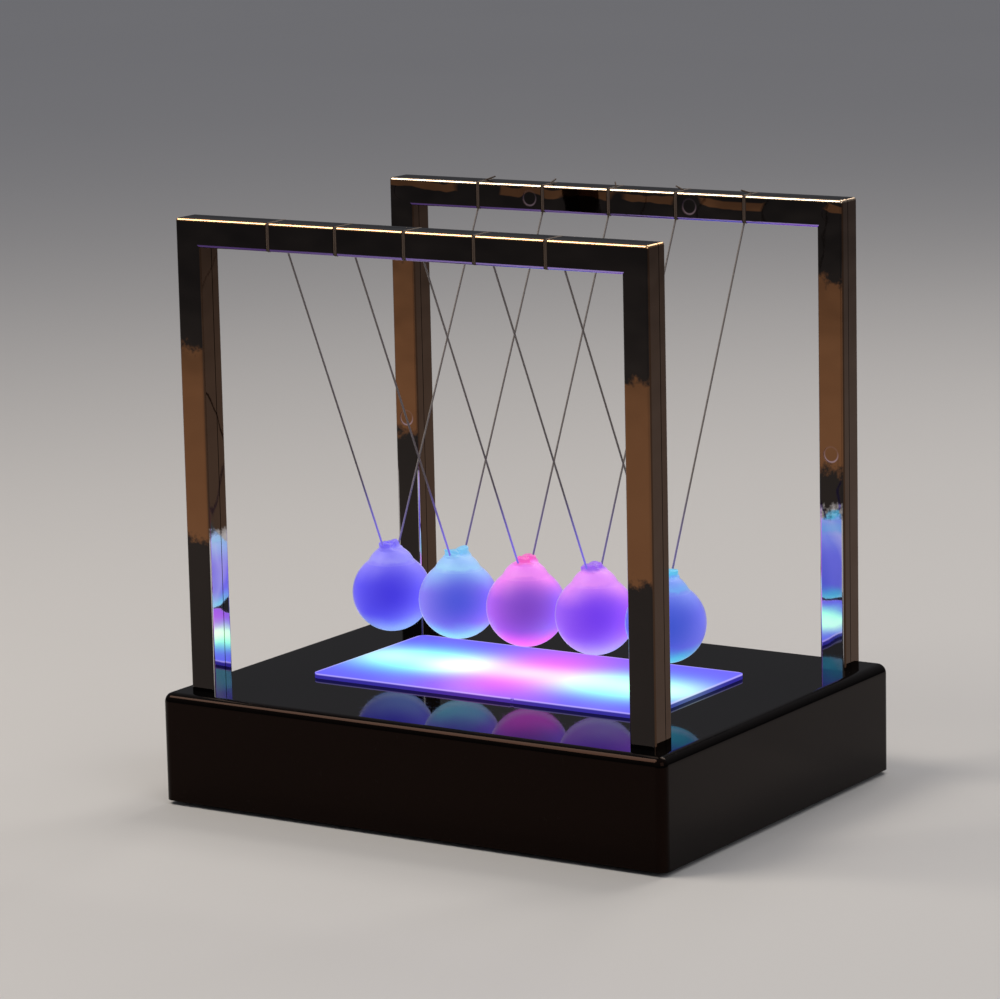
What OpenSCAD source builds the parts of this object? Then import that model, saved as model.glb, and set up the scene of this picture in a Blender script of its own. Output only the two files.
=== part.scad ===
// Desktop Newton's cradle with a lit base. Five frosted balls hang on V-shaped strings
// between two chromed plastic arches, above a glowing panel let into a glossy black box.
// Millimetres. X runs along the row of balls, Y from the front face to the back, Z up,
// and the feet stand on Z = 0.

/* [Base] */
// Length of the base, along the row of balls
base_w = 180; // [176:1:200]
// Depth of the base, front to back
base_d = 139.5; // [132:0.5:150]
// Height of the base box, without its feet
base_h = 34; // [32:0.5:42]
// Radius of the upright corners and the top edges
base_r = 3; // [2:0.5:4]
// Thickness of the housing's walls
wall = 2.4; // [1.8:0.1:3.2]
// Gap that the feet leave under the box
foot_gap = 1.4; // [0.8:0.1:3]

/* [Arches] */
// Overall width of each arch
arch_w = 166.5; // [160:0.5:170]
// Height of each arch above the base
arch_h = 147; // [135:1:165]
// Width of an arch's bar, seen from the front
bar_w = 8.8; // [8:0.2:10]
// Depth of an arch's bar, front to back
bar_d = 9.8; // [9:0.2:11]
// Distance from the base's face to the arch's outer face
arch_inset = 7; // [5:0.5:9]
// Radius rolled onto the arch's long edges
bar_r = 0.9; // [0.5:0.1:1.2]

/* [Pendulums] */
// Ball diameter
ball_d = 24.9; // [24:0.1:26]
// Gap between neighbouring balls at rest
ball_gap = 0.2; // [0.15:0.05:0.5]
// Spacing of the string grooves, a little less than that of the balls
groove_pitch = 24.5; // [24:0.1:26]
// Height of the ball centres above the base
ball_rise = 22.5; // [20:0.1:30]
// String diameter
string_d = 0.6; // [0.4:0.05:0.6]

/* [Light panel] */
// Length of the glowing panel
panel_w = 120.5; // [112:0.5:124]
// Depth of the glowing panel
panel_d = 62.5; // [56:0.5:66]
// Height that the panel stands proud of the base
panel_proud = 1.4; // [0.8:0.1:3]

/* [Power switch] */
// Travel of the switch's thumb nub
switch_travel = 3; // [2:0.25:4]

/* [Hidden] */
$fn = 48;
ball_count = 5;
eps = 0.01;

// Levels
base_top = foot_gap + base_h;
ceiling = base_top - wall;
cover_t = 3;
cover_top = foot_gap + cover_t;

// Arches
arch_y = base_d / 2 - arch_inset;
leg_x = arch_w / 2 - bar_w / 2;
seam_d = 0.6 * bar_d;
shell_t = 1.6;
seam_gap = 0.3;
leg_solid = 14;
mark_r = 2.6;
mark_depth = 0.15;
leg_mark_z = 68;
bar_mark_x = 1.2 * groove_pitch;

// Strings and balls
ball_pitch = ball_d + ball_gap;
ball_r = ball_d / 2;
string_r = string_d / 2;
ball_z = base_top + ball_rise;
groove_w = 1.4;
groove_depth = 0.5;
groove_r = 0.5;
pivot_y = arch_y - bar_d - 0.1;
pivot_z = base_top + arch_h - bar_w - 0.1;
string_fit = 0.06;
turn_pitch = 0.55;
knot_rise = 6;
knot_r = 1.2;
string_rise = pivot_z - ball_z - knot_rise;

// Ball caps: a dome on the ball's flat, with a knob on top and a hollow plug below
cap_r = 0.555 * ball_r;
cap_rise = sqrt(ball_r * ball_r - cap_r * cap_r);
cap_lip = 0.03 * ball_r;
dome_r = 0.62 * ball_r;
dome_rise = cap_rise + cap_lip - sqrt(dome_r * dome_r - cap_r * cap_r);
knob_r = 0.165 * ball_r;
knob_rise = 1.15 * ball_r;
socket_r = 4.2;
socket_floor = -1;
plug_r = socket_r - 0.05;
plug_wall = 1.4;

// Light unit
panel_r = 3;
flange = 2.5;
flange_t = 1.4;
board_t = 1.6;
tray_floor = 1.4;
gate_x = 14;
gate_r = 0.8;
ear_y = 18;
led_r = 2.5;
led_body = 3;

// Battery bay
cell_r = 7.1;
cell_l = 50.5;
cell_pitch = 15;
cell_z = cover_top + 7.4;
bay_w = 60;
bay_d = 3 * cell_pitch + 0.6;
bay_t = 1.4;
bay_top = cell_z + cell_r + 0.3;
board_z = bay_top + bay_t + 1.8;
door_lip = 3;
door_lip_t = 1.8;
door_ear = 9;
door_screw_x = bay_w / 2 + door_lip + door_ear / 2;

// Fasteners and feet
screw_r = 1.45;
screw_fit = 0.05;
head_r = 2.6;
head_t = 1.4;
counterbore_r = 3;
boss_r = 3.6;
ear_boss_r = 3;
ear_x = panel_w / 2 + flange + boss_r + 0.15;
cover_screw_x = base_w / 2 - 10;
cover_screw_y = 36;
cover_screw_l = 12;
board_screw_l = 9;
door_screw_l = 7;
arch_screw_l = 12.5;
arch_head_r = 2.8;
arch_head_t = 1.6;
foot_x = base_w / 2 - 13;
foot_y = base_d / 2 - 13.75;
foot_r = 6;
foot_recess = 0.8;

// Wires
wire_r = 0.6;
wire_bend = 3;
bay_wire_z = 14;
bay_wire_run = 8;
switch_wire_x = 4;
switch_wire_run = 30;

// Switch
switch_z = board_z - wire_bend - 1;
switch_can_d = 6;
nub_w = 5.4;
nub_h = 5.4;
nub_fit = 0.3;
window_w = nub_w + switch_travel + 2 * nub_fit;
window_h = nub_h + 2 * nub_fit;
stem_w = 2;
dish_depth = 0.7;

// The X positions of ball i and of its grooves, counted 1 to 5 from the left. The balls are
// wider than the grooves' spacing, so they push each other outwards a little.
function place(i) = i - (ball_count + 1) / 2;
function ball_x(i) = place(i) * ball_pitch;
function groove_x(i) = place(i) * groove_pitch;

// ---------- shared shapes ----------

// A flat rectangle with round corners.
module rounded_rect(w, d, r) {
    square([w - 2 * r, d], center = true);
    square([w, d - 2 * r], center = true);
    for (sx = [-1, 1], sy = [-1, 1])
        translate([sx * (w / 2 - r), sy * (d / 2 - r)])
            circle(r);
}

module rounded_plate(w, d, t, r) {
    linear_extrude(t)
        rounded_rect(w, d, r);
}

// A rod of radius r from the origin along +X or +Y, centred on its own length.
module rod_x(length, r) {
    rotate([0, 90, 0])
        cylinder(h = length, r = r, center = true);
}

module rod_y(length, r) {
    rotate([90, 0, 0])
        cylinder(h = length, r = r, center = true);
}

// A box standing on Z = 0 whose upright corners and top edges are rounded by r.
module soft_box(w, d, h, r) {
    rounded_plate(w, d, h - r, r);
    translate([0, 0, h / 2])
        cube([w - 2 * r, d - 2 * r, h], center = true);
    for (sy = [-1, 1])
        translate([0, sy * (d / 2 - r), h - r])
            rod_x(w - 2 * r, r);
    for (sx = [-1, 1])
        translate([sx * (w / 2 - r), 0, h - r])
            rod_y(d - 2 * r, r);
    for (sx = [-1, 1], sy = [-1, 1])
        translate([sx * (w / 2 - r), sy * (d / 2 - r), h - r])
            sphere(r);
}

// Repeats the children at the four corners of a rectangle.
module at_corners(x, y) {
    for (sx = [-1, 1], sy = [-1, 1])
        translate([sx * x, sy * y, 0])
            children();
}

// A pan-head screw with a cross recess, its head on Z = 0 and its shank along +Z.
module screw(length, radius, head_h) {
    difference() {
        cylinder(h = head_h, r = radius);
        for (turn = [0, 90])
            rotate(turn)
                cube([radius * 1.3, 0.6, head_h], center = true);
    }
    translate([0, 0, head_h / 2])
        cylinder(h = length - head_h / 2, r = screw_r);
}

// ---------- base ----------

module base_housing() {
    color("#0b0b0d")
    difference() {
        union() {
            difference() {
                translate([0, 0, foot_gap])
                    soft_box(base_w, base_d, base_h, base_r);
                rounded_plate(base_w - 2 * wall, base_d - 2 * wall, ceiling, base_r - 1);
            }
            at_corners(cover_screw_x, cover_screw_y)
                translate([0, 0, cover_top])
                    cylinder(h = ceiling - cover_top + eps, r = boss_r);
            at_corners(ear_x, ear_y)
                translate([0, 0, board_z + board_t + tray_floor])
                    cylinder(h = ceiling - board_z - board_t - tray_floor + eps, r = ear_boss_r);
        }
        translate([0, 0, ceiling - 1])
            rounded_plate(panel_w + 0.2, panel_d + 0.2, wall + 2, panel_r);
        at_corners(cover_screw_x, cover_screw_y)
            translate([0, 0, cover_top - 1])
                cylinder(h = cover_screw_l + 1, r = screw_r + screw_fit);
        at_corners(ear_x, ear_y)
            translate([0, 0, board_z])
                cylinder(h = board_screw_l - 0.5, r = screw_r + screw_fit);
        at_corners(leg_x, arch_y - seam_d / 2)
            cylinder(h = base_top + 1, r = screw_r + screw_fit);
        switch_place() {
            cube([window_w, 4 * wall, window_h], center = true);
            cube([window_w + 4, 2 * dish_depth, window_h + 3], center = true);
        }
    }
}

module base_cover() {
    color("#151517")
    difference() {
        union() {
            translate([0, 0, foot_gap])
                rounded_plate(base_w - 2 * wall - 0.3, base_d - 2 * wall - 0.3, cover_t, base_r - 1.2);
            translate([0, 0, foot_gap])
                rounded_plate(bay_w + 2 * bay_t, bay_d + 2 * bay_t, bay_top + bay_t - foot_gap, 1);
            translate([door_screw_x, 0, foot_gap])
                cylinder(h = door_screw_l + 2, r = boss_r);
        }
        translate([0, 0, bay_top / 2])
            cube([bay_w, bay_d, bay_top], center = true);
        door_outline(0.15, door_lip_t + 1, foot_gap - 1);
        translate([door_screw_x, 0, 0])
            cylinder(h = foot_gap + door_screw_l + 0.5, r = screw_r + screw_fit);
        at_corners(cover_screw_x, cover_screw_y)
            screw_hole(foot_gap, 1.6);
        at_corners(foot_x, foot_y)
            cylinder(h = foot_gap + foot_recess, r = foot_r + 0.05);
    }
}

// A counterbore of the given depth above level z, with the shank's hole through it.
module screw_hole(z, depth) {
    cylinder(h = z + depth, r = counterbore_r);
    cylinder(h = z + cover_t + 1, r = screw_r + screw_fit);
}

// The door's outer lip with its screw ear, grown by the fit, t thick from level z up.
module door_outline(fit, t, z) {
    translate([0, 0, z + t / 2])
        cube([bay_w + 2 * door_lip + 2 * fit, bay_d + 2 * door_lip + 2 * fit, t], center = true);
    translate([door_screw_x, 0, z + t / 2])
        cube([door_ear + 2 * fit + 1, door_ear + 2 * fit, t], center = true);
}

module battery_door() {
    color("#151517")
    difference() {
        union() {
            door_outline(0, door_lip_t, foot_gap);
            translate([0, 0, foot_gap + door_lip_t + 0.5])
                cube([bay_w - 0.4, bay_d - 0.4, 1 + eps], center = true);
        }
        translate([door_screw_x, 0, 0])
            screw_hole(foot_gap, 1.2);
        for (i = [-2:2])
            translate([-bay_w / 2 + 4 + 1.5 * i, 0, foot_gap])
                cube([0.7, 16, 0.8], center = true);
    }
}

module cover_screws() {
    color("#8d9096")
    at_corners(cover_screw_x, cover_screw_y)
        translate([0, 0, foot_gap + 0.2])
            screw(cover_screw_l, head_r, head_t);
}

module door_screw() {
    color("#8d9096")
    translate([door_screw_x, 0, foot_gap + 0.1])
        screw(door_screw_l, head_r, head_t - 0.3);
}

module feet() {
    color("#222224")
    at_corners(foot_x, foot_y)
        cylinder(h = foot_gap + foot_recess, r = foot_r);
}

// ---------- light unit ----------

module light_panel() {
    panel_top = base_top + panel_proud;
    color("#b9a8ff")
    difference() {
        union() {
            translate([0, 0, ceiling - flange_t])
                rounded_plate(panel_w, panel_d, panel_top - ceiling + flange_t, panel_r);
            translate([0, 0, ceiling - flange_t])
                rounded_plate(panel_w + 2 * flange, panel_d + 2 * flange, flange_t, panel_r);
        }
        // the underside is hollowed, so the diffuser stays thin
        translate([0, 0, ceiling - flange_t - 1])
            rounded_plate(panel_w - 5, panel_d - 5, panel_top - 2 - ceiling + flange_t + 1, panel_r);
        // the mould's gate leaves a small nick in the front edge
        translate([gate_x, -panel_d / 2, panel_top])
            sphere(gate_r);
    }
}

module light_tray() {
    tray_z = board_z + board_t;
    wall_h = ceiling - flange_t - tray_z;
    color("#eeeeee")
    difference() {
        union() {
            translate([0, 0, tray_z])
                rounded_plate(panel_w + 1, panel_d + 1, wall_h, panel_r);
            translate([0, 0, tray_z + tray_floor / 2])
                cube([2 * ear_x + 7, 2 * ear_y + 7, tray_floor], center = true);
        }
        translate([0, 0, tray_z + tray_floor])
            rounded_plate(panel_w - 2, panel_d - 2, wall_h, panel_r - 1);
        at_corners(ear_x, ear_y)
            translate([0, 0, tray_z - 1])
                cylinder(h = tray_floor + 2, r = screw_r + screw_fit);
        for (i = [1:ball_count])
            translate([ball_x(i), 0, tray_z - 1])
                cylinder(h = tray_floor + 2, r = led_r + 0.3);
    }
}

module led_board() {
    color("#1d5a34")
    difference() {
        translate([0, 0, board_z + board_t / 2])
            cube([2 * ear_x + 9, 2 * ear_y + 9, board_t], center = true);
        at_corners(ear_x, ear_y)
            translate([0, 0, board_z - 1])
                cylinder(h = board_t + 2, r = screw_r + screw_fit);
    }
}

module leds() {
    color("#d8dcff")
    for (i = [1:ball_count])
        translate([ball_x(i), 0, board_z + board_t]) {
            cylinder(h = led_body, r = led_r);
            translate([0, 0, led_body])
                sphere(led_r);
        }
}

module led_resistors() {
    color("#2a2a2a")
    for (i = [1:ball_count])
        translate([ball_x(i), ear_y, board_z - 0.3])
            cube([3.2, 1.6, 0.6], center = true);
}

module controller_chip() {
    color("#101010")
    translate([48, 0, board_z - 0.75])
        cube([6, 10, 1.5], center = true);
}

module board_screws() {
    color("#8d9096")
    at_corners(ear_x, ear_y)
        translate([0, 0, board_z - head_t])
            screw(board_screw_l, head_r, head_t);
}

// A wire that runs along +X for run, bends up and rises by rise.
module wire(run, rise) {
    rotate([0, 90, 0])
        cylinder(h = run, r = wire_r);
    translate([run, 0, wire_bend])
        rotate([90, 0, 0])
            rotate(-90)
                rotate_extrude(angle = 90)
                    translate([wire_bend, 0])
                        circle(wire_r);
    translate([run + wire_bend, 0, wire_bend])
        cylinder(h = rise - wire_bend, r = wire_r);
}

module wires() {
    color("#b02020")
    for (sy = [-1, 1]) {
        translate([-bay_w / 2 - bay_t, sy * cell_pitch, bay_wire_z])
            rotate(180)
                wire(bay_wire_run, board_z - bay_wire_z);
        switch_place()
            translate([sy * switch_wire_x, wall + switch_can_d, 0])
                rotate(90)
                    wire(switch_wire_run, board_z - switch_z);
    }
}

// ---------- power switch ----------

// Puts the switch's origin on the back face, at the middle of its window, with Y running in
// through the wall.
module switch_place() {
    rotate(180)
        translate([0, -base_d / 2, switch_z])
            children();
}

module switch_body() {
    color("#8d9096")
    switch_place()
        translate([0, wall, 0])
            difference() {
                translate([0, switch_can_d / 2, 0])
                    cube([14, switch_can_d, 7.5], center = true);
                cube([stem_w + switch_travel + 2 * nub_fit, 4, stem_w + 2 * nub_fit], center = true);
            }
}

// The nub rests at the left end of its window as seen from behind, which is the "on" end.
// Its three finger ribs stop level with the base's back face.
module power_switch() {
    rib_d = 0.5;
    color("#18181a")
    switch_place()
        translate([-switch_travel / 2, rib_d, 0]) {
            translate([0, (wall - rib_d - nub_fit) / 2, 0])
                cube([nub_w, wall - rib_d - nub_fit, nub_h], center = true);
            translate([0, wall / 2 + 0.2, 0])
                cube([stem_w, wall + 1, stem_w], center = true);
            for (i = [-1:1])
                translate([1.6 * i, 0, 0])
                    cube([0.7, 2 * rib_d, nub_h - 0.8], center = true);
        }
}

// ---------- batteries ----------

module batteries() {
    color("#c08a2c")
    for (row = [-1:1])
        translate([0, row * cell_pitch, cell_z])
            rotate([0, row == 0 ? -90 : 90, 0]) {
                translate([0, 0, -cell_l / 2])
                    cylinder(h = cell_l - 1, r = cell_r);
                cylinder(h = cell_l / 2, r = 2.7);
            }
}

// A leaf contact: a flat plate on the bay's end wall, with a tongue bowed out to the cell.
module contact_leaf() {
    leaf_t = 0.4;
    half_h = 5;
    reach = (bay_w - cell_l) / 2 - 0.55;
    lean = atan(reach / half_h);
    cube([leaf_t, 9, 2 * half_h + 1], center = true);
    for (sz = [-1, 1])
        translate([-reach / 2, 0, sz * half_h / 2])
            rotate([0, sz * lean, 0])
                cube([leaf_t, 6, half_h / cos(lean)], center = true);
}

module battery_contacts() {
    color("#b8bcc2")
    for (row = [-1:1], side = [0, 180])
        translate([0, row * cell_pitch, cell_z])
            rotate(side)
                translate([bay_w / 2 - 0.2, 0, 0])
                    contact_leaf();
}

// ---------- arches ----------

// The arch seen from the front, shrunk by inset, its feet cut off at height foot.
module arch_outline(inset, foot) {
    half = arch_w / 2 - inset;
    top = arch_h - inset;
    corner = max(bar_r - inset, 0.01);
    difference() {
        union() {
            translate([-half, foot])
                square([2 * half, top - corner - foot]);
            translate([-half + corner, foot])
                square([2 * (half - corner), top - foot]);
            for (sx = [-1, 1])
                translate([sx * (half - corner), top - corner])
                    circle(corner);
        }
        translate([-arch_w / 2 + bar_w - inset, foot - 1])
            square([arch_w - 2 * (bar_w - inset), arch_h - bar_w + inset - foot + 1]);
    }
}

// A slab of the arch between depths y0 and y1.
module arch_slab(inset, y0, y1, foot = 0) {
    translate([0, y1, 0])
        rotate([90, 0, 0])
            linear_extrude(y1 - y0)
                arch_outline(inset, foot);
}

// One half of an arch, depth thick, its outer face at Y = 0 with rolled edges.
module arch_half(depth) {
    outer = arch_w / 2 - bar_r;
    inner = arch_w / 2 - bar_w + bar_r;
    inner_top = arch_h - bar_w + bar_r;
    arch_slab(0, bar_r, depth);
    arch_slab(bar_r, 0, depth);
    for (sx = [-1, 1]) {
        translate([sx * outer, bar_r, 0])
            cylinder(h = arch_h - bar_r, r = bar_r);
        translate([sx * inner, bar_r, 0])
            cylinder(h = inner_top, r = bar_r);
        translate([sx * outer, bar_r, arch_h - bar_r])
            sphere(bar_r);
    }
    translate([0, bar_r, arch_h - bar_r])
        rod_x(2 * outer, bar_r);
    translate([0, bar_r, inner_top])
        rod_x(2 * inner, bar_r);
}

// The grooves that the strings are wrapped in, cut round the top bar.
module string_grooves() {
    for (i = [1:ball_count])
        translate([groove_x(i), bar_d / 2, arch_h - bar_w / 2])
            rotate([90, 0, 90])
                linear_extrude(groove_w, center = true)
                    difference() {
                        square([bar_d + 2, bar_w + 2], center = true);
                        rounded_rect(bar_d - 2 * groove_depth, bar_w - 2 * groove_depth, groove_r);
                    }
}

// The outer half is a channel: it is hollow towards the seam, except for the screwed feet.
module arch_outer() {
    difference() {
        arch_half(seam_d);
        arch_slab(shell_t, shell_t, seam_d + 1, leg_solid);
        string_grooves();
        for (sx = [-1, 1])
            translate([sx * leg_x, seam_d / 2, -1])
                cylinder(h = 11, r = screw_r + screw_fit);
    }
}

// The inner half closes the channel. Its face carries the round marks of the mould's pins.
module arch_inner() {
    bar_mid = arch_h - bar_w / 2;
    difference() {
        union() {
            translate([0, bar_d, 0])
                mirror([0, 1, 0])
                    arch_half(bar_d - seam_d - seam_gap);
            arch_slab(seam_gap, seam_d, seam_d + 1);
            arch_slab(shell_t + 0.1, seam_d - 1, seam_d + 1, leg_solid + 0.1);
        }
        string_grooves();
        for (sx = [-1, 1], spot = [[leg_x, leg_mark_z], [leg_x, bar_mid], [bar_mark_x, bar_mid]])
            translate([sx * spot[0], bar_d, spot[1]])
                rod_y(2 * mark_depth, mark_r);
    }
}

module front_place() {
    translate([0, -arch_y, base_top])
        children();
}

module rear_place() {
    rotate(180)
        front_place()
            children();
}

module front_arch_outer() {
    color("#c9ccd1")
    front_place()
        arch_outer();
}

module front_arch_inner() {
    color("#c9ccd1")
    front_place()
        arch_inner();
}

module rear_arch_outer() {
    color("#c9ccd1")
    rear_place()
        arch_outer();
}

module rear_arch_inner() {
    color("#c9ccd1")
    rear_place()
        arch_inner();
}

module arch_screws() {
    color("#8d9096")
    at_corners(leg_x, arch_y - seam_d / 2)
        translate([0, 0, ceiling - arch_head_t])
            screw(arch_screw_l, arch_head_r, arch_head_t);
}

// ---------- strings ----------

// One closed turn of string round the groove's core, in the Y-Z plane.
module string_turn() {
    lane = groove_r + string_r;
    half_d = bar_d / 2 - groove_depth - groove_r;
    half_h = bar_w / 2 - groove_depth - groove_r;
    for (side = [-1, 1]) {
        translate([side * (half_d + lane), 0])
            rotate([90, 0, 0])
                cylinder(h = 2 * half_h, r = string_r, center = true);
        translate([0, side * (half_h + lane)])
            rotate([0, 90, 0])
                cylinder(h = 2 * half_d, r = string_r, center = true);
    }
    for (turn = [0:3])
        translate([(turn == 0 || turn == 3 ? 1 : -1) * half_d, (turn < 2 ? 1 : -1) * half_h])
            rotate(90 * turn)
                rotate_extrude(angle = 90)
                    translate([lane, 0])
                        circle(string_r);
}

// The ends of the strings: two turns in every groove, with a short tail left on the rear bar.
module string_wraps() {
    tail_z = base_top + arch_h - groove_depth + 2 * string_r;
    color("#b9b2a6")
    for (i = [1:ball_count]) {
        for (side = [0, 180], turn = [-0.5, 0.5])
            rotate(side)
                front_place()
                    translate([groove_x(i) + turn * turn_pitch, bar_d / 2, arch_h - bar_w / 2])
                        rotate([90, 0, 90])
                            string_turn();
        translate([groove_x(i), arch_y - bar_d / 2, tail_z])
            rotate([0, 75, 20 + 35 * i])
                cylinder(h = 3.5, r = string_r * 0.8);
    }
}

// Turns +Z to run from the knot of pendulum i up both of its strings.
module along_strings(i) {
    splay = atan((ball_x(i) - groove_x(i)) / string_rise);
    lean = atan(pivot_y * cos(splay) / string_rise);
    for (side = [-1, 1])
        rotate([0, -splay, 0])
            rotate([side * lean, 0, 0])
                children();
}

// The string of pendulum i hangs from one arch, runs through the cap and up to the other.
module string_run(i) {
    length = norm([ball_x(i) - groove_x(i), pivot_y, string_rise]);
    color("#d6d0c4")
    translate([ball_x(i), 0, ball_z + knot_rise]) {
        sphere(knot_r);
        along_strings(i) {
            cylinder(h = length, r = string_r);
            translate([0, 0, length])
                sphere(string_r);
        }
    }
}

// ---------- balls ----------

// A ball with a flat on top and the socket that its cap is pressed into.
module ball(i) {
    color("#8f86ff")
    translate([ball_x(i), 0, ball_z])
        difference() {
            sphere(ball_r, $fn = 96);
            translate([-ball_r, -ball_r, cap_rise])
                cube(2 * ball_r);
            translate([0, 0, socket_floor])
                cylinder(h = ball_r, r = socket_r);
        }
}

// The cap of ball i. The string's knot sits in its hollow plug, and the string leaves by
// two slanting holes beside the knob.
module ball_cap(i) {
    color("#b4b8ff")
    translate([ball_x(i), 0, ball_z])
        difference() {
            union() {
                difference() {
                    translate([0, 0, dome_rise])
                        sphere(dome_r);
                    translate([0, 0, cap_rise - ball_d])
                        cylinder(h = ball_d, r = ball_r);
                }
                translate([0, 0, knob_rise - 2 * knob_r])
                    cylinder(h = 2 * knob_r, r1 = 1.6 * knob_r, r2 = knob_r);
                translate([0, 0, knob_rise])
                    sphere(knob_r);
                translate([0, 0, socket_floor + 0.5])
                    cylinder(h = cap_rise - socket_floor, r = plug_r);
            }
            translate([0, 0, socket_floor - 1])
                cylinder(h = cap_rise - socket_floor + 1, r = plug_r - plug_wall);
            translate([0, 0, knot_rise])
                along_strings(i)
                    cylinder(h = 2 * ball_r, r = string_r + string_fit);
        }
}

base_housing();
base_cover();
battery_door();
cover_screws();
door_screw();
feet();
light_panel();
light_tray();
led_board();
leds();
led_resistors();
controller_chip();
board_screws();
wires();
switch_body();
power_switch();
batteries();
battery_contacts();
front_arch_outer();
front_arch_inner();
rear_arch_outer();
rear_arch_inner();
arch_screws();
string_wraps();
ball(1);  // ball_1
ball(2);  // ball_2
ball(3);  // ball_3
ball(4);  // ball_4
ball(5);  // ball_5
ball_cap(1);  // ball_cap_1
ball_cap(2);  // ball_cap_2
ball_cap(3);  // ball_cap_3
ball_cap(4);  // ball_cap_4
ball_cap(5);  // ball_cap_5
string_run(1);  // string_1
string_run(2);  // string_2
string_run(3);  // string_3
string_run(4);  // string_4
string_run(5);  // string_5
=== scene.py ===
"""Looks for the lit Newton's cradle: procedural materials on the CAD pieces, crumpled ball
caps built over the CAD ones, and a plain studio. Metres, +Z up, X along the row of balls."""

import math

import bpy
from mathutils import Matrix, Vector, noise


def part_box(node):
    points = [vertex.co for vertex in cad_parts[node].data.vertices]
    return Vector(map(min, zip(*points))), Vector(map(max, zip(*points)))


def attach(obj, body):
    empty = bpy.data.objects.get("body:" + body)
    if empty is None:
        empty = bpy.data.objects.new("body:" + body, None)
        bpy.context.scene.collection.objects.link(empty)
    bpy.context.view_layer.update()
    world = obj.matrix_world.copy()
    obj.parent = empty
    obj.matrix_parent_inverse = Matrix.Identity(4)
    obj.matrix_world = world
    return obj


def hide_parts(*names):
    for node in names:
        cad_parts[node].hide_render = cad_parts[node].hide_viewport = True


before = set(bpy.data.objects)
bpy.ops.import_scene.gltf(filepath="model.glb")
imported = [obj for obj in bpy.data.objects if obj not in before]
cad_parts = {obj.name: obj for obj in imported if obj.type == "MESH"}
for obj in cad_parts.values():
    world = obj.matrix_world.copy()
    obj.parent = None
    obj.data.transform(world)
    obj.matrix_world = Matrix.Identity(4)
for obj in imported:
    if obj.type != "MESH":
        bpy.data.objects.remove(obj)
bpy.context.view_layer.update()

BALLS = range(1, 6)
MM = 0.001


# ---------- places taken from the frame ----------

BALL_LOW, BALL_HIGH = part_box("ball_3")
BALL_R = (BALL_HIGH.x - BALL_LOW.x) / 2
BALL_Z = BALL_LOW.z + BALL_R
BALL_X = {i: sum(corner.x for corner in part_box(f"ball_{i}")) / 2 for i in BALLS}
PITCH = BALL_X[4] - BALL_X[3]
PANEL_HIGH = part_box("light_panel")[1]
BASE_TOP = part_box("base_housing")[1].z
ARCH_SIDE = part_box("front_arch_outer")[1].x
ARCH_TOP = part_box("front_arch_outer")[1].z
# and sizes on the arches that no box gives: the bars, and the pin marks on the arches' inner
# faces, of which each arch has one on each leg and two on its bar
BAR_W = 8.8 * MM
MARK_R = 2.6 * MM
LEG_MARK = (ARCH_SIDE - BAR_W / 2, BASE_TOP + 68 * MM)
BAR_MARK = (29.4 * MM, ARCH_TOP - BAR_W / 2)


# ---------- a small node-graph writer ----------

def rgb(r, g, b):
    """A linear colour from display values of 0 to 255."""
    def linear(c):
        c /= 255
        return c / 12.92 if c <= 0.04045 else ((c + 0.055) / 1.055) ** 2.4
    return (linear(r), linear(g), linear(b), 1.0)


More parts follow.
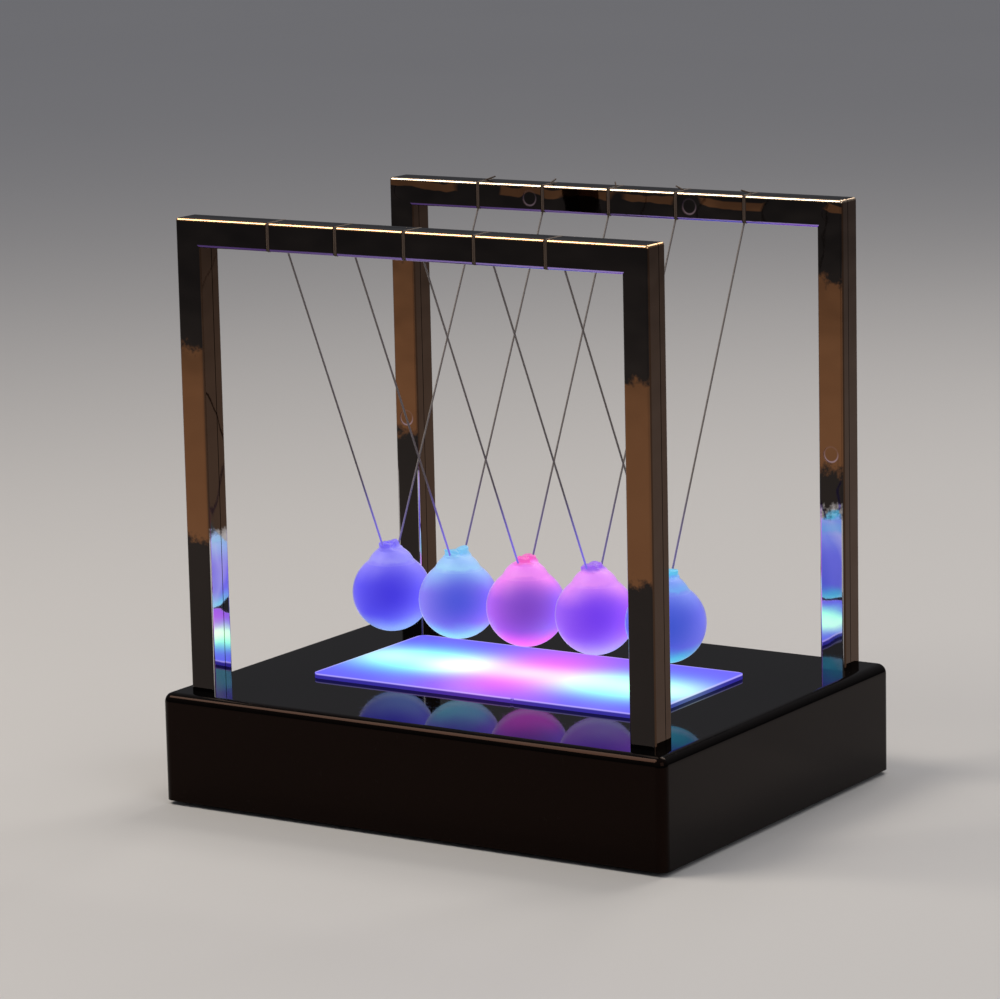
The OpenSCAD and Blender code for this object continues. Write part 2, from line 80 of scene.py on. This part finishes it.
class Graph:
    """Builds one material: a Principled shader with procedural inputs."""

    def __init__(self, name, **settings):
        self.material = bpy.data.materials.new(name)
        self.material.use_nodes = True
        self.tree = self.material.node_tree
        self.shader = self.tree.nodes["Principled BSDF"]
        self.point = self.node("TexCoord").outputs["Object"]
        for socket, value in settings.items():
            self.set(socket.replace("_", " "), value)

    def node(self, kind, inputs=None, **properties):
        """Adds a node; inputs are sockets or plain values, by name or number."""
        made = self.tree.nodes.new("ShaderNode" + kind)
        for key, value in properties.items():
            setattr(made, key, value)
        for key, value in (inputs or {}).items():
            self.feed(made.inputs[key], value)
        return made

    def feed(self, socket, value):
        if isinstance(value, bpy.types.NodeSocket):
            self.tree.links.new(value, socket)
        else:
            socket.default_value = value

    def set(self, socket, value):
        self.feed(self.shader.inputs[socket], value)

    def axis(self, letter, vector=None):
        """One coordinate of a vector, or of the point on the object at rest."""
        return self.node("SeparateXYZ", {"Vector": vector or self.point}).outputs[letter]

    def math(self, operation, a, b=0.0):
        return self.node("Math", {0: a, 1: b}, operation=operation).outputs[0]

    def product(self, a, b):
        return self.math("MULTIPLY", a, b)

    def greater(self, a, b):
        return self.math("MAXIMUM", a, b)

    def size_of(self, value):
        return self.math("ABSOLUTE", value)

    def vector(self, operation, a, b=(0, 0, 0)):
        return self.node("VectorMath", {0: a, 1: b}, operation=operation).outputs[0]

    def dot(self, a, b):
        return self.node("VectorMath", {0: a, 1: b}, operation="DOT_PRODUCT").outputs["Value"]

    def noise(self, size, detail=3.0, roughness=0.5, stretch=(1, 1, 1)):
        """Noise from 0 to 1 whose features are about size metres across."""
        mapped = self.node("Mapping", {"Vector": self.point, "Scale": stretch}).outputs[0]
        inputs = {"Vector": mapped, "Scale": 1 / size, "Detail": detail, "Roughness": roughness}
        return self.node("TexNoise", inputs).outputs["Fac"]

    def span(self, value, low, high, to_low=0.0, to_high=1.0, smooth=False):
        """value from low..high carried to to_low..to_high, and held at the ends."""
        kind = "SMOOTHSTEP" if smooth else "LINEAR"
        inputs = {0: value, 1: low, 2: high, 3: to_low, 4: to_high}
        return self.node("MapRange", inputs, interpolation_type=kind).outputs["Result"]

    def pool(self, centre, reach):
        """A soft round falloff from 1 at centre, by reach metres along each axis."""
        offset = self.vector("SUBTRACT", self.point, centre)
        scaled = self.vector("DIVIDE", offset, reach)
        return self.math("EXPONENT", self.product(self.dot(scaled, scaled), -1.0))

    def band(self, value, low, high, soft):
        """1 where value lies between low and high, falling to 0 over soft beyond each."""
        rise = self.span(value, low - soft, low)
        return self.product(rise, self.span(value, high, high + soft, 1.0, 0.0))

    def highlight_ring_of(self, place, centre, radius):
        """A painted highlight's mask: a thin ring about centre, brightest underneath, in a plane of two
        coordinates, with its mirror image on the other side."""
        right = self.math("SUBTRACT", self.size_of(place[0]), centre[0])
        up = self.math("SUBTRACT", place[1], centre[1])
        squares = [self.product(offset, offset) for offset in (right, up)]
        distance = self.math("SQRT", self.math("ADD", *squares))
        ring = self.band(distance, radius - 0.35 * MM, radius - 0.1 * MM, 0.25 * MM)
        return self.product(ring, self.span(up, -0.8 * radius, 0.4 * radius, 1.0, 0.12))

    def blend(self, amount, a, b, mode="MIX"):
        """Colour a carried towards b by amount, or with b added to it."""
        made = self.node("Mix", data_type="RGBA", blend_type=mode)
        for socket, value in zip((s for s in made.inputs if s.enabled), (amount, a, b)):
            self.feed(socket, value)
        return next(s for s in made.outputs if s.enabled)

    def ramp(self, value, stops):
        """A colour read from eased stops, each a place from 0 to 1 and its colour."""
        made = self.node("ValToRGB", {"Fac": value})
        made.color_ramp.interpolation = "EASE"
        elements = made.color_ramp.elements
        while len(elements) < len(stops):
            elements.new(1.0)
        for element, (place, colour) in zip(elements, stops):
            element.position = place
            element.color = colour
        return made.outputs["Color"]

    def bump(self, height, strength, distance, normal=None):
        """A normal bent by height, on top of another bump's where one is given."""
        inputs = {"Height": height, "Strength": strength, "Distance": distance}
        if normal:
            inputs["Normal"] = normal
        return self.node("Bump", inputs).outputs["Normal"]


def dress(material, *nodes):
    """Gives CAD nodes, or made pieces, their one material."""
    for name in nodes:
        slots = bpy.data.objects[name].data.materials
        slots.clear()
        slots.append(material)


# ---------- materials ----------

# The direction from the row to its front right and a little up, and the level one across it
TOWARDS = (0.53, -0.83, 0.18)
ACROSS = (0.84, 0.54, 0.0)

# Where the painted brown reflections, and the painted clear reflections, lie on the arches
BROWN_LOW = BASE_TOP + 50 * MM
BROWN_HIGH = BASE_TOP + 106 * MM
REAR_BROWN_RAISED = 15 * MM
STRIP_LOW = ARCH_TOP - 3.6 * MM
STRIP_HIGH = ARCH_TOP - 1.4 * MM
CLEAR_REFLECTION_TOP = BASE_TOP + 50 * MM


def painted_brown_reflections(g, ripple, rear):
    """1 where brown reflections are painted: on the middle of each leg, higher up on the rear arch,
    and on a broken strip under the rear bar's top edge."""
    height = g.axis("Z")
    leg_inside = ARCH_SIDE - BAR_W
    on_leg = g.span(g.size_of(g.axis("X")), leg_inside, leg_inside + 0.5 * MM)
    raised = g.product(rear, REAR_BROWN_RAISED)
    level = g.math("SUBTRACT", g.math("ADD", height, ripple), raised)
    legs = g.product(g.band(level, BROWN_LOW, BROWN_HIGH, 3 * MM), on_leg)
    wave = g.span(g.noise(0.014, detail=2.0), 0.35, 0.65, -1.3 * MM, 1.0 * MM)
    strip = g.band(g.math("ADD", height, wave), STRIP_LOW, STRIP_HIGH, 0.3 * MM)
    broken = g.product(strip, g.span(g.noise(0.022, detail=1.0), 0.40, 0.43))
    return g.greater(legs, g.product(broken, rear))


def painted_foot_reflections(g, ripple, rear, inward, turn_x, sideways):
    """1 where a painted reflection of the base's light goes, on the inward sides of the legs near their
    feet.
    """
    low = g.span(g.math("ADD", g.axis("Z"), ripple), CLEAR_REFLECTION_TOP - 2 * MM, CLEAR_REFLECTION_TOP + 2 * MM, 1.0, 0.0)
    front_side = g.product(sideways, g.math("SUBTRACT", 1.0, rear))
    corner = g.band(g.size_of(turn_x), 0.25, 0.8, 0.1)
    right_end = g.span(g.axis("X"), -MM, MM)
    lit = g.greater(g.greater(front_side, corner), right_end)
    return g.product(g.product(inward, low), lit)


def chrome_material():
    """Chrome plate over moulded plastic, with painted reflections. The flat faces are darkened
    nearly to black with wavering painted brown reflections, the rolled top edges carry a painted
    gold highlight, and the undersides and the sides turned to the glowing panel take painted
    reflections of its light."""
    g = Graph("chrome", Metallic=1.0)
    normal = g.node("TexCoord").outputs["Normal"]
    turn_x, turn_y, turn_z = (g.axis(letter, normal) for letter in "XYZ")
    x, y, z = (g.axis(letter) for letter in "XYZ")
    rear = g.span(y, -MM, MM)
    sideways = g.span(g.size_of(turn_x), 0.6, 0.8)
    in_plan = g.vector("MULTIPLY", g.point, (1, 1, 0))
    inward = g.span(g.dot(normal, in_plan), -0.02, 0.0, 1.0, 0.0)
    ripple = g.span(g.noise(0.004, detail=4.0, roughness=0.7), 0.3, 0.7, -3 * MM, 3 * MM)

    # Painted reflection: the chrome is darkened nearly to black, with a mottle, standing in for a dark
    # surround mirrored in it
    reflection_mottle = g.noise(0.03, detail=3.0)
    black = g.blend(reflection_mottle, (0.040, 0.033, 0.030, 1), (0.024, 0.021, 0.021, 1))
    # Painted reflection: brown patches of a brown surround mirrored in the faces
    brown = g.blend(reflection_mottle, (0.25, 0.12, 0.058, 1), (0.19, 0.085, 0.040, 1))
    colour = g.blend(painted_brown_reflections(g, ripple, rear), black, brown)
    # Painted reflection: a dark brown on the faces turned sideways
    painted_side_reflection = (0.085, 0.048, 0.030, 1)
    colour = g.blend(sideways, colour, painted_side_reflection)
    # Painted reflection: clear silver where the legs' inward sides near their feet mirror the base's light
    painted_clear_reflection = (0.72, 0.70, 0.72, 1)
    feet = painted_foot_reflections(g, ripple, rear, inward, turn_x, sideways)
    colour = g.blend(feet, colour, painted_clear_reflection)

    # Painted highlight: a pink ring round each pin mark on the inward faces, brightest underneath
    rim = g.greater(*[g.highlight_ring_of((x, z), mark, MARK_R) for mark in (LEG_MARK, BAR_MARK)])
    rim = g.product(rim, g.span(g.size_of(turn_y), 0.5, 0.8))
    rim = g.product(rim, inward)
    painted_ring_highlight = (0.50, 0.36, 0.42, 1)
    colour = g.blend(g.product(rim, 0.8), colour, painted_ring_highlight)

    # Painted reflection: the faces turned down are tinted violet, darker to the left, standing in for the
    # panel's light mirrored in them
    violet = g.blend(g.span(x, -0.05, 0.06), (0.10, 0.055, 0.22, 1), (0.42, 0.32, 0.85, 1))
    underneath = g.span(turn_z, -0.15, -0.05, 1.0, 0.0)
    colour = g.blend(underneath, colour, violet)
    # Painted highlight: the rolled top edges coloured gold, paler on the rear arch, so the lights show
    # gold in them
    gold = g.blend(rear, (0.70, 0.42, 0.22, 1), (0.85, 0.66, 0.48, 1))
    rolled_edge = g.band(turn_z, 0.15, 0.9, 0.08)
    g.set("Base Color", g.blend(rolled_edge, colour, gold))
    g.set("Roughness", g.span(rolled_edge, 0.0, 1.0, 0.035, 0.24))
    sink = g.bump(g.noise(0.012, detail=1.0), 0.25, 0.0006)
    g.set("Normal", g.bump(g.noise(0.0008, detail=2.0), 0.03, 0.00005, sink))
    return g.material


def gloss_black_material():
    """Polished black plastic with a breath of dust and hairline wear."""
    # Painted highlight colour: a red-orange specular tint warms the reflections, standing in for a warm
    # light
    g = Graph("gloss_black", Specular_IOR_Level=0.10, Specular_Tint=(1.0, 0.5, 0.36, 1.0))
    dust = g.noise(0.003, detail=9.0, roughness=0.75)
    speck = g.span(dust, 0.62, 0.72)
    g.set("Base Color", g.blend(speck, (0.0015, 0.0014, 0.0014, 1), (0.006, 0.006, 0.006, 1)))
    g.set("Roughness", g.span(dust, 0.5, 0.75, 0.035, 0.14))
    sink = g.bump(g.noise(0.05, detail=1.0), 0.12, 0.0005)
    g.set("Normal", g.bump(g.noise(0.0012, detail=2.0, stretch=(0.15, 1, 1)), 0.02, 0.00004, sink))
    return g.material


def matt_plastic_material(name, colour, grain=0.0004):
    """Spark-eroded plastic: a fine even grain with slightly worn, shinier patches."""
    g = Graph(name)
    worn = g.noise(0.02, detail=4.0)
    dark = tuple(0.8 * c for c in colour[:3]) + (1.0,)
    g.set("Base Color", g.blend(worn, colour, dark))
    g.set("Roughness", g.span(worn, 0.3, 0.7, 0.62, 0.48))
    g.set("Normal", g.bump(g.noise(grain, detail=1.0), 0.35, 0.00008))
    return g.material


def steel_material(name, bright, dull):
    """Plated steel with fine turning lines."""
    g = Graph(name, Metallic=1.0)
    tint = g.noise(0.003, detail=3.0)
    g.set("Base Color", g.blend(tint, bright, dull))
    g.set("Roughness", g.span(tint, 0.3, 0.7, 0.22, 0.4))
    g.set("Normal", g.bump(g.noise(0.0003, detail=2.0), 0.15, 0.00005))
    return g.material


def panel_material():
    """The frosted diffuser. Each LED under it shines through as a soft pool of its own colour,
    the outer pairs cyan and the middle one pink, and the light runs out to blue at the edges."""
    g = Graph("light_panel", Base_Color=(0.05, 0.04, 0.16, 1), Roughness=0.3)
    pools = [
        # centre x, y and reach x, y in millimetres, then the light it adds
        (-1.5 * PITCH / MM, 0, 22, 13.5, (0.04, 1.60, 0.05)),
        (1.5 * PITCH / MM, -2, 22, 13.5, (0.04, 1.60, 0.05)),
        (BALL_X[1] / MM, 1, 16, 11, (0.42, 0.25, 0.0)),
        (BALL_X[2] / MM, 0, 11.5, 10.5, (0.85, 0.40, 0.1)),
        (0, 0, 20, 29, (0.95, 0.0, 0.08)),
        (0, 0, 12, 8, (0.20, 0.44, 0.05)),
        (BALL_X[4] / MM, 0, 16, 12, (0.38, 0.30, 0.1)),
        (BALL_X[5] / MM, -1, 16, 12, (0.55, 0.30, 0.1)),
    ]
    glow = rgb(96, 90, 246)
    for x, y, reach_x, reach_y, light in pools:
        shape = g.pool((x * MM, y * MM, 0), (reach_x * MM, reach_y * MM, 1.0))
        glow = g.blend(shape, glow, (*light, 1), mode="ADD")
    # a painted highlight: a pale line along the edges, inside the hidden flange, as if the rounded edge
    # caught the light, over sides that glow darker
    top = g.span(g.axis("Z"), PANEL_HIGH.z - 0.45 * MM, PANEL_HIGH.z - 0.1 * MM, smooth=True)
    dark_side = g.blend(0.86, glow, rgb(20, 6, 120))
    flange = 2.6 * MM
    edges = [
        g.span(g.size_of(g.axis(letter)), half - flange - MM, half - flange, smooth=True)
        for letter, half in (("X", PANEL_HIGH.x), ("Y", PANEL_HIGH.y))
    ]
    painted_edge_highlight = g.product(g.greater(*edges), 0.35)
    glow = g.blend(painted_edge_highlight, glow, (0.9, 0.75, 1, 1))
    g.set("Emission Color", g.blend(top, dark_side, glow))
    g.set("Emission Strength", 1.0)
    g.set("Normal", g.bump(g.noise(0.0005, detail=2.0), 0.12, 0.00006))
    return g.material


def painted_ball_glow(g, i, glow_colours):
    """The painted glow of ball i and its cap, standing in for the light from the panel below. It is
    deepest at the heart of the side turned to the front right, and of the one opposite. Towards the
    outline between them it grows paler, and takes painted tints of the panel's light below, of the
    balls either side and of the cap above."""
    low, heart, high, left, right = glow_colours
    out = g.vector("SUBTRACT", g.point, (BALL_X[i], 0, BALL_Z))
    out = g.vector("DIVIDE", out, (BALL_R, BALL_R, BALL_R))
    cloud = g.span(g.noise(0.008, detail=3.0), 0.3, 0.7, -0.06, 0.06)
    across = g.math("ADD", g.dot(out, ACROSS), cloud)
    height = g.math("ADD", g.axis("Z", out), cloud)
    glow = g.blend(g.span(across, -0.7, 0.7, smooth=True), left, right)
    glow = g.blend(g.span(height, -0.35, -0.85, smooth=True), glow, low)
    glow = g.blend(g.span(height, 0.25, 0.85, smooth=True), glow, high)
    facing = g.size_of(g.dot(out, TOWARDS))
    # Painted highlight: the glow pales towards the outline
    pale = (0.72, 0.70, 1.0, 1.0)
    glow = g.blend(g.span(facing, 0.25, 0.0, 0.0, 0.4), glow, pale)
    deep = g.math("POWER", g.span(facing, 0.42, 1.0), 1.4)
    return g.blend(deep, glow, heart)


def give_painted_glow(g, glow, unlit):
    """Paints a glow on a surface as emission, over a plastic that is nearer to its unlit colour."""
    g.set("Base Color", g.blend(0.6, glow, unlit))
    g.set("Emission Color", glow)
    g.set("Emission Strength", 0.72)


def ball_material(i, glow_colours):
    """Frosted plastic with a painted glow that stands in for the light from below, and a pale bloom
    at its outline, partly painted into the glow and partly from the sheen."""
    g = Graph(
        f"ball_{i}",
        Roughness=0.5,
        Specular_IOR_Level=0.2,
        Sheen_Weight=1.0,
        Sheen_Roughness=0.3,
        Sheen_Tint=(0.86, 0.84, 1.0, 1.0),
    )
    give_painted_glow(g, painted_ball_glow(g, i, glow_colours), (0.02, 0.02, 0.12, 1))
    g.set("Normal", g.bump(g.noise(0.0005, detail=3.0), 0.1, 0.00006))
    return g.material


def cap_material(i, glow_colours, band, knob):
    """The cap's cloudy plastic, with a painted glow: the ball's, paler in a soft band above its edge,
    and the knob's colour on top."""
    g = Graph(
        f"ball_cap_{i}",
        Roughness=0.45,
        Specular_IOR_Level=0.25,
        Sheen_Weight=0.8,
        Sheen_Roughness=0.4,
    )
    glow = painted_ball_glow(g, i, glow_colours)
    up = g.span(g.axis("Z"), BALL_Z + 0.80 * BALL_R, BALL_Z + 1.3 * BALL_R)
    cloud = g.span(g.noise(0.004, detail=3.0), 0.3, 0.7, -0.08, 0.08)
    level = g.math("ADD", up, cloud)
    # Painted glow: a pale band above the cap's edge, and the knob's colour on top
    pale = g.ramp(level, [(0.0, (0.1,) * 4), (0.16, (0.6,) * 4), (0.55, (0.25,) * 4)])
    glow = g.blend(pale, glow, band)
    glow = g.blend(g.span(level, 0.6, 0.85, 0.0, 0.9, smooth=True), glow, knob)
    give_painted_glow(g, glow, (0.04, 0.04, 0.14, 1))
    g.set("Normal", g.bump(g.noise(0.0008, detail=4.0), 0.25, 0.0001))
    return g.material


def string_material():
    """Twisted nylon: brown where it is wound on the arches, and with a painted blue-violet glow
    that stands in for the light creeping up it from each ball, more so on the front strings."""
    g = Graph("string", Roughness=0.5, Specular_IOR_Level=0.3)
    inputs = {"Vector": g.point, "Scale": 1 / 0.0012, "Distortion": 1.5}
    twist = g.node("TexWave", inputs, bands_direction="DIAGONAL").outputs["Fac"]
    hanging = g.blend(twist, (0.13, 0.115, 0.11, 1), (0.27, 0.24, 0.23, 1))
    wound = g.blend(twist, (0.045, 0.030, 0.022, 1), (0.11, 0.075, 0.055, 1))
    on_arch = g.span(g.axis("Z"), ARCH_TOP - BAR_W - MM, ARCH_TOP - BAR_W)
    g.set("Base Color", g.blend(on_arch, hanging, wound))
    # Painted glow: blue-violet emission fading up each string from its ball
    reach = g.span(g.axis("Z"), BALL_Z + 1.1 * BALL_R, BALL_Z + 3.4 * BALL_R, 1.0, 0.0, smooth=True)
    front = g.span(g.axis("Y"), -4 * MM, 4 * MM, 1.0, 0.3)
    g.set("Emission Color", g.blend(g.product(reach, front), (0, 0, 0, 1), (0.16, 0.12, 0.85, 1)))
    g.set("Emission Strength", 0.8)
    g.set("Normal", g.bump(twist, 0.4, 0.0001))
    return g.material


def circuit_material():
    """Green solder mask with paler copper runs under it."""
    g = Graph("circuit_board", Roughness=0.35)
    inputs = {"Vector": g.point, "Scale": 300.0, "Distortion": 3.0}
    runs = g.span(g.node("TexWave", inputs).outputs["Fac"], 0.8, 0.9)
    g.set("Base Color", g.blend(runs, (0.01, 0.13, 0.05, 1), (0.03, 0.24, 0.1, 1)))
    return g.material


def led_material():
    """Clear domed lenses, lit."""
    g = Graph("led_lens", Roughness=0.15)
    g.set("Base Color", g.blend(g.noise(0.002), (0.7, 0.8, 1, 1), (0.85, 0.9, 1, 1)))
    g.set("Emission Color", (0.6, 0.7, 1.0, 1.0))
    g.set("Emission Strength", 0.8)
    return g.material


# ---------- ball caps ----------

# In ball radii and from the ball's centre, with the dome of the CAD caps
CAP_R = 0.555
CAP_Z = math.sqrt(1 - CAP_R ** 2)
DOME_R = 0.62
DOME_Z = CAP_Z + 0.03 - math.sqrt(DOME_R ** 2 - CAP_R ** 2)
RIM_R = math.sqrt(DOME_R ** 2 - (CAP_Z - DOME_Z) ** 2)
# the cap's edge, feathered out over the ball's shoulder
SKIRT_R = 0.63
SKIRT_Z = math.sqrt(1 - SKIRT_R ** 2)
# and how far it runs on, out and down, just under the ball's surface
TUCK = 0.05
NECK_R = 0.28
KNOB_R = 0.185
KNOB_TOP = 1.295
KNOB_ROUND = 0.06
# The crumpling sets in between these heights
CRUMPLE_LOW = 1.08
CRUMPLE_HIGH = 1.2
# How far each knob leans along ACROSS
KNOB_LEAN = {1: -0.06, 2: -0.01, 3: 0.02, 4: -0.05, 5: 0.0}
SEGMENTS = 120
DOME_RINGS = 40
KNOB_RINGS = 44


def dome_profile():
    """(radius, height) pairs round the dome, from its rim to the neck."""
    start = math.asin(RIM_R / DOME_R)
    end = math.asin(NECK_R / DOME_R)
    points = []
    for step in range(1, DOME_RINGS + 1):
        angle = start + (end - start) * step / DOME_RINGS
        points.append((DOME_R * math.sin(angle), DOME_Z + DOME_R * math.cos(angle)))
    return points


def knob_profile(neck_z):
    """(radius, height) pairs of a concave flare out of the dome, then of a blunt round top."""
    round_z = KNOB_TOP - KNOB_ROUND
    points = []
    for step in range(1, KNOB_RINGS + 1):
        # from 0 to 1 up the flare, and on to 2 over the top
        climb = 2 * step / KNOB_RINGS
        if climb < 1:
            radius = KNOB_R + (NECK_R - KNOB_R) * (1 - climb) ** 2
            height = neck_z + (round_z - neck_z) * climb ** 1.3
        else:
            turn = (climb - 1) * math.pi / 2
            radius = KNOB_R * math.cos(turn) ** 0.7
            height = round_z + KNOB_ROUND * math.sin(turn)
        points.append((max(radius, 0.0005), height))
    return points


def cap_profile():
    """(radius, height) pairs from the tucked edge, up the dome and over the knob."""
    skirt = [(SKIRT_R + TUCK, SKIRT_Z - TUCK), (SKIRT_R, SKIRT_Z)]
    dome = dome_profile()
    return skirt + dome + knob_profile(dome[-1][1])


def smooth_step(low, high, value):
    """0 at low and 1 at high, with an eased rise between them."""
    share = min(1.0, max(0.0, (value - low) / (high - low)))
    return share * share * (3 - 2 * share)


def crumple(i, angle, radius, height):
    """Where a point of the smooth cap goes, in ball radii: the knob is lumpy, pinched into a
    fold with an ear at each end of it that the string goes into, and leans a little."""
    seed = Vector((7.3 * i, 1.9 * i, 0))
    fold_turn = math.radians(90 + 14 * math.sin(2.3 * i))
    out = Vector((math.cos(angle), math.sin(angle), 0.0))
    point = out * radius + Vector((0, 0, height))
    lump = noise.noise(point * 6 + seed) * 0.05 + noise.noise(point * 14 + seed) * 0.035
    along_fold = math.cos(2 * (angle - fold_turn))
    pinch = (0.30 + 0.52 * along_fold) * radius
    ears = 0.035 * along_fold * smooth_step(0.0, KNOB_R, radius)
    move = out * (lump + pinch) + Vector((0, 0, ears + 0.8 * lump)) + Vector(ACROSS) * KNOB_LEAN[i]
    return point + move * smooth_step(CRUMPLE_LOW, CRUMPLE_HIGH, height)


def turned_faces(rings):
    """The faces between rings of SEGMENTS points, closed at both ends."""
    faces = []
    for ring in range(rings - 1):
        for k in range(SEGMENTS):
            here = ring * SEGMENTS + k
            beside = ring * SEGMENTS + (k + 1) % SEGMENTS
            faces.append((here, beside, beside + SEGMENTS, here + SEGMENTS))
    last = (rings - 1) * SEGMENTS
    faces.append(tuple(range(SEGMENTS - 1, -1, -1)))
    faces.append(tuple(range(last, last + SEGMENTS)))
    return faces


def crumpled_cap(i):
    """The cap of ball i, gathered into a crumpled knob."""
    centre = Vector((BALL_X[i], 0, BALL_Z))
    profile = cap_profile()
    vertices = []
    for radius, height in profile:
        for k in range(SEGMENTS):
            angle = 2 * math.pi * k / SEGMENTS
            vertices.append(centre + crumple(i, angle, radius, height) * BALL_R)
    mesh = bpy.data.meshes.new(f"crumpled_cap_{i}")
    mesh.from_pydata(vertices, [], turned_faces(len(profile)))
    mesh.polygons.foreach_set("use_smooth", [True] * len(mesh.polygons))
    piece = bpy.data.objects.new(f"crumpled_cap_{i}", mesh)
    bpy.context.scene.collection.objects.link(piece)
    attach(piece, f"pendulum_{i}")
    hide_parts(f"ball_cap_{i}")


# ---------- dressing the object ----------

# The painted glow on each ball, standing in for the panel's light: below, at its heart, on top, and on its
# left and right flanks
BALL_GLOWS = {
    1: (rgb(142, 152, 248), rgb(70, 58, 226), rgb(138, 128, 252), rgb(100, 90, 254), rgb(132, 120, 250)),
    2: (rgb(136, 214, 252), rgb(80, 90, 220), rgb(152, 196, 254), rgb(142, 130, 250), rgb(150, 130, 250)),
    3: (rgb(250, 108, 252), rgb(132, 72, 200), rgb(252, 138, 250), rgb(184, 102, 248), rgb(172, 122, 252)),
    4: (rgb(192, 140, 252), rgb(122, 62, 242), rgb(236, 146, 254), rgb(160, 98, 252), rgb(190, 110, 252)),
    5: (rgb(80, 196, 236), rgb(64, 88, 212), rgb(130, 150, 250), rgb(100, 110, 246), rgb(118, 122, 250)),
}
# Each cap's painted glow: the pale band above its rim, and on its knob
CAP_GLOWS = {
    1: (rgb(165, 162, 255), rgb(116, 98, 248)),
    2: (rgb(165, 228, 255), rgb(120, 200, 240)),
    3: (rgb(255, 150, 252), rgb(252, 92, 190)),
    4: (rgb(240, 150, 255), rgb(150, 96, 240)),
    5: (rgb(110, 190, 250), rgb(90, 205, 238)),
}

dress(gloss_black_material(), "base_housing")
dress(matt_plastic_material("matt_black", (0.02, 0.02, 0.021, 1)), "base_cover", "battery_door")
dress(matt_plastic_material("switch_black", (0.012, 0.012, 0.013, 1), 0.0003), "power_switch")
dress(matt_plastic_material("foot_rubber", (0.03, 0.03, 0.03, 1), 0.0008), "feet")
dress(matt_plastic_material("white_plastic", (0.8, 0.8, 0.79, 1)), "light_tray")
dress(matt_plastic_material("black_component", (0.015, 0.015, 0.016, 1)), "led_resistors",
      "controller_chip")
dress(matt_plastic_material("wire_red", (0.5, 0.02, 0.02, 1)), "wires")
dress(matt_plastic_material("battery_jacket", (0.5, 0.28, 0.05, 1)), "batteries")
dress(steel_material("zinc_steel", (0.62, 0.63, 0.66, 1), (0.48, 0.47, 0.44, 1)), "cover_screws",
      "door_screw", "board_screws", "arch_screws", "switch_body")
dress(steel_material("nickel", (0.66, 0.65, 0.6, 1), (0.52, 0.5, 0.46, 1)), "battery_contacts")
dress(circuit_material(), "led_board")
dress(led_material(), "leds")
dress(panel_material(), "light_panel")
dress(chrome_material(), "front_arch_outer", "front_arch_inner", "rear_arch_outer", "rear_arch_inner")
dress(string_material(), "string_wraps", *[f"string_{i}" for i in BALLS])
for i in BALLS:
    crumpled_cap(i)
    dress(ball_material(i, BALL_GLOWS[i]), f"ball_{i}")
    dress(cap_material(i, BALL_GLOWS[i], *CAP_GLOWS[i]), f"crumpled_cap_{i}")


# ---------- studio ----------

def floor():
    """A plain pale floor."""
    half = 12
    mesh = bpy.data.meshes.new("floor")
    corners = [(-half, -half, 0), (half, -half, 0), (half, half, 0), (-half, half, 0)]
    mesh.from_pydata(corners, [], [(0, 1, 2, 3)])
    made = bpy.data.objects.new("floor", mesh)
    bpy.context.scene.collection.objects.link(made)
    g = Graph("floor", Roughness=0.55, Specular_IOR_Level=0.3)
    g.set("Base Color", g.blend(g.noise(0.4), (0.60, 0.60, 0.61, 1), (0.63, 0.63, 0.64, 1)))
    mesh.materials.append(g.material)


def softbox(name, place, size, power, colour=(1, 1, 1)):
    """A square area light turned towards the object."""
    data = bpy.data.lights.new(name, "AREA")
    data.size = size
    data.energy = power
    data.color = colour
    lamp = bpy.data.objects.new(name, data)
    lamp.location = place
    aim = Vector((0, 0, BASE_TOP)) - Vector(place)
    lamp.rotation_euler = aim.to_track_quat("-Z", "Y").to_euler()
    bpy.context.scene.collection.objects.link(lamp)


def studio_world():
    """A soft dome: dim at the horizon and bright overhead."""
    world = bpy.data.worlds.new("studio")
    world.use_nodes = True
    tree = world.node_tree
    coordinate = tree.nodes.new("ShaderNodeTexCoord")
    split = tree.nodes.new("ShaderNodeSeparateXYZ")
    ramp = tree.nodes.new("ShaderNodeValToRGB")
    horizon, overhead = ramp.color_ramp.elements
    horizon.position = 0.0
    horizon.color = (0.03, 0.03, 0.034, 1)
    overhead.position = 0.9
    overhead.color = (0.32, 0.32, 0.34, 1)
    tree.links.new(coordinate.outputs["Generated"], split.inputs[0])
    tree.links.new(split.outputs["Z"], ramp.inputs["Fac"])
    tree.links.new(ramp.outputs["Color"], tree.nodes["Background"].inputs["Color"])
    bpy.context.scene.world = world


def camera():
    """A long lens, a little above the base and turned to its right-hand front corner."""
    azimuth = math.radians(32.88)
    elevation = math.radians(10.70)
    roll = math.radians(-1.256)
    distance = 1.329
    target = Vector((-0.0088, 0, 0.0910))
    back = Vector((math.sin(azimuth) * math.cos(elevation),
                   -math.cos(azimuth) * math.cos(elevation),
                   math.sin(elevation)))
    right = Vector((math.cos(azimuth), math.sin(azimuth), 0))
    up = back.cross(right)
    rolled_right = right * math.cos(roll) + up * math.sin(roll)
    rolled_up = up * math.cos(roll) - right * math.sin(roll)
    turn = Matrix((rolled_right, rolled_up, back)).transposed().to_4x4()
    data = bpy.data.cameras.new("camera")
    data.sensor_width = 36
    data.lens = 154.5
    data.clip_end = 60
    made = bpy.data.objects.new("camera", data)
    made.matrix_world = Matrix.Translation(target + back * distance) @ turn
    bpy.context.scene.collection.objects.link(made)
    bpy.context.scene.camera = made


floor()
softbox("key", (-0.55, -0.45, 0.95), 0.55, 7.5, (1.0, 0.9, 0.76))
softbox("fill", (0.9, -0.5, 0.6), 0.7, 2.0)
softbox("back", (0.1, 0.75, 0.95), 0.6, 5.0, (1.0, 0.93, 0.84))
studio_world()
camera()
bpy.context.scene.view_settings.view_transform = "Standard"
